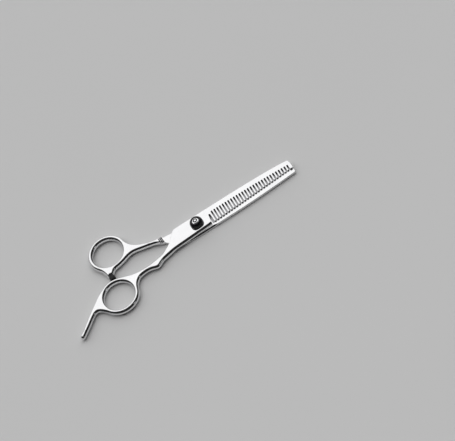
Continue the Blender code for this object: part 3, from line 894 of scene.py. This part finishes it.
def make_camera():
    """Long lens that looks down from the near side, rolled so that the shears lie diagonally.

    view_width is how much fits across the picture at the target.
    """
    lens = 400.0
    sensor = 36.0
    view_width = 293.47265
    target = Vector((17.741, -11.232, 4.7))
    right = Vector((0.8434, -0.42909, -0.32335)).normalized()
    back = Vector((0, -0.6018, 0.7986)).normalized()
    up = back.cross(right).normalized()
    right = up.cross(back)
    distance = view_width * lens / sensor
    camera = bpy.data.objects.new("camera", bpy.data.cameras.new("camera"))
    camera.data.lens = lens
    camera.data.sensor_width = sensor
    camera.data.clip_end = 100
    place = (target + back * distance) * MM
    turn = Matrix((right, up, back)).transposed().to_4x4()
    camera.matrix_world = Matrix.Translation(place) @ turn
    bpy.context.scene.collection.objects.link(camera)
    bpy.context.scene.camera = camera


# ---------------------------------------------------------------- everything together

def second_finish(piece, material, belongs):
    """Give another material to the faces that belong to it, by their middle and normal."""
    piece.data.materials.append(material)
    index = len(piece.data.materials) - 1
    for face in piece.data.polygons:
        if belongs(*(face.center / MM), face.normal.z):
            face.material_index = index


def ground_and_shade_on_comb(x, y, z, slope):
    """Inner face of the comb blade, and the walls of its slots, for the satin steel with painted shade.
    """
    inner = slope < -LEVEL and z < COMB_BOTTOM + NEAR_PLANE
    in_teeth = line_height(TOOTH_TIP_LINE, x) + NEAR_PLANE < y < FAR_SIDE and x < TIP_X - TIP_CLEAR
    wall = in_teeth and abs(slope) < WALL
    return x > GROUND_START and (inner or wall)


def ground_and_shade_on_straight(x, y, z, slope):
    """Inner face of the straight blade, but not the strip beyond the tooth tips, for the satin steel
    with painted shade.
    """
    inner = slope > LEVEL and z > STRAIGHT_TOP - NEAR_PLANE
    return x > GROUND_START and inner and y > line_height(TOOTH_TIP_LINE, x) - BRIGHT_STRIP


def groove_painted_shade(x, y, z, slope):
    """Bottoms of the collar's grooves, painted black as their shade."""
    in_groove = any(abs(x - groove) < GROOVE_SHADE_SHARE * GROOVE_HALF for groove in GROOVES)
    return in_groove and z > STRAIGHT_TOP and slope > UPWARD


def bore_painted_shade(x, y, z, slope):
    """Wall and floor of the knob ring's bore, around the screw, painted black as shade."""
    radius, floor, mouth = BORE_SHADE
    return math.hypot(x, y) < radius and floor < z < mouth


def place_piece(piece, material, body, slot, *nodes):
    """Give a piece its material and body, and hide the CAD nodes it stands for. The slot is not used.
    """
    piece.data.materials.append(material)
    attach(piece, body)
    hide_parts(*nodes)


def refinish(node, material):
    """Give a CAD node a better material."""
    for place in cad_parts[node].material_slots:
        place.material = material


def main():
    """Build the scene."""
    steel = polished_steel()
    plain = turned_steel("turned_steel", (0.62, 0.62, 0.63), 0.26)
    bright = turned_steel("bright_plate", (0.85, 0.85, 0.86), 0.18)
    knob_black_and_shade = black_finish()
    ground_and_shade = ground_steel_with_painted_shade()
    comb = make_comb_half()
    place_piece(comb, steel, "finger_half", "polished_steel", "comb_blade", "finger_handle")
    # Inner face and slot walls get the dark satin steel: painted shade in the slots.
    second_finish(comb, ground_and_shade, ground_and_shade_on_comb)
    straight = make_straight_half()
    place_piece(straight, steel, "thumb_half", "polished_steel", "straight_blade", "thumb_handle")
    # Inner face gets the dark satin steel: painted shade seen through the slots.
    second_finish(straight, ground_and_shade, ground_and_shade_on_straight)
    # The grooves' bottoms are painted black as shade.
    second_finish(straight, knob_black_and_shade, groove_painted_shade)
    place_piece(make_knob(), knob_black_and_shade, "knob", "black_knob", "tension_knob")
    ring = make_knob_ring()
    place_piece(ring, bright, "knob", "bright_plating", "knob_bush")
    # The bore around the screw is painted black as shade.
    second_finish(ring, knob_black_and_shade, bore_painted_shade)
    place_piece(make_centre_screw(), bright, "thumb_half", "bright_plating", "lock_screw")
    place_piece(make_pivot_screw(), plain, "thumb_half", "plain_steel", "pivot_screw")
    place_piece(make_stop(), rubber(), "thumb_half", "black_rubber", "bumper_pad")
    washers = nylon()
    refinish("ride_washer", washers)
    refinish("base_washer", washers)
    for node in ("tension_spring", "click_ring", "bumper_stud"):
        refinish(node, plain)
    make_world()
    make_floor(floor_finish())
    make_camera()
    bpy.context.scene.view_settings.view_transform = "Standard"


main()
